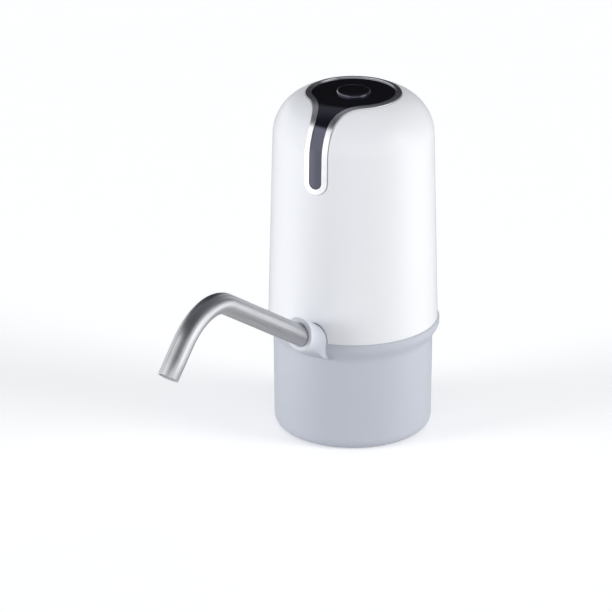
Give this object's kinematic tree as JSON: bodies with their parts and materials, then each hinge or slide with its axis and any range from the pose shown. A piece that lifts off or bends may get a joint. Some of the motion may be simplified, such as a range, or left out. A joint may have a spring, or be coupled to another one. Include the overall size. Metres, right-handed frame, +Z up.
{
  "type": "electric water jug pump",
  "caption": "Battery water pump for a jug neck: grey socket base, white domed shell, black drop panel with a push button, gear pump inside and a bent steel spout that turns and pulls out.",
  "frame": {"origin": "on the axis of the jug socket, in the plane of the foot", "axes": "+Z up along the body axis, spout and panel tail to the front at -Y, charging port at +Y"},
  "size_m": [0.0824, 0.2166, 0.1688],
  "materials": {
    "grey_plastic": "satin",
    "white_plastic": "gloss",
    "black_gloss": "high gloss",
    "satin_chrome": "satin",
    "steel_tube": "polished",
    "steel": "plain",
    "rubber": "matt",
    "silicone": "soft matt",
    "brass": "plain",
    "copper": "enamelled wire",
    "circuit_board": "solder resist",
    "battery_wrap": "shrink film",
    "dark_resin": "moulded",
    "white_resin": "moulded",
    "magnet": "sintered",
    "lamination": "stacked sheet",
    "red_lead": "wire cover",
    "black_lead": "wire cover",
    "lamp_lens": "diffused"
  },
  "bodies": {
    "body": {"base_shell": "grey_plastic", "jug_collar": "silicone", "shell_gasket": "rubber", "upper_shell": "white_plastic", "shell_screws": "steel", "panel_trim": "satin_chrome", "top_panel": "black_gloss", "main_board": "circuit_board", "board_screws": "steel", "switch_body": "dark_resin", "board_parts": "dark_resin", "status_lamp": "lamp_lens", "charge_socket": "steel", "battery_cell": "battery_wrap", "battery_cradle": "dark_resin", "cradle_screws": "steel", "battery_tabs": "steel", "battery_leads": "red_lead", "motor_can": "steel", "motor_cap": "dark_resin", "motor_magnets": "magnet", "motor_bushes": "brass", "motor_brushes": "magnet", "motor_terminals": "brass", "motor_leads": "black_lead", "motor_screws": "steel", "pump_body": "dark_resin", "pump_cover": "dark_resin", "pump_gasket": "rubber", "pump_screws": "steel", "shaft_seal": "rubber", "gear_pin": "steel", "pump_pad": "rubber", "inlet_nut": "white_resin", "outlet_hose": "silicone", "hose_clips": "steel"},
    "button": {"button_cap": "black_gloss"},
    "plunger": {"switch_plunger": "dark_resin"},
    "rotor": {"motor_shaft": "steel", "armature_core": "lamination", "armature_windings": "copper", "commutator": "copper", "drive_gear": "white_resin"},
    "idler": {"driven_gear": "white_resin"},
    "spout_ring": {"spout_seals": "rubber"},
    "spout": {"spout_tube": "steel_tube"}
  },
  "joints": [
    {"name": "button_press", "type": "slide", "parent": "body", "child": "button", "axis": [0, 0, -1], "range_m": [0, 0.0006], "stiffness_N_per_m": 500, "springref_m": -0.002},
    {"name": "switch_press", "type": "slide", "parent": "body", "child": "plunger", "axis": [0, 0, -1], "range_m": [0, 0.0006]},
    {"name": "rotor_spin", "type": "hinge", "parent": "body", "child": "rotor", "pos_m": [-0.006, -0.006, 0.05], "axis": [0, 0, 1], "continuous": true},
    {"name": "idler_spin", "type": "hinge", "parent": "body", "child": "idler", "pos_m": [0.006, -0.006, 0.05], "axis": [0, 0, 1], "continuous": true},
    {"name": "spout_swivel", "type": "hinge", "parent": "body", "child": "spout_ring", "pos_m": [0, -0.0547, 0.064], "axis": [0, -0.866, 0.5], "range_deg": [-90, 90]},
    {"name": "spout_pull", "type": "slide", "parent": "spout_ring", "child": "spout", "axis": [0, -0.866, 0.5], "range_m": [0, 0.025]}
  ],
  "couplings": [
    {"joint": "switch_press", "follows": "button_press", "ratio": 1},
    {"joint": "idler_spin", "follows": "rotor_spin", "ratio": -1}
  ]
}
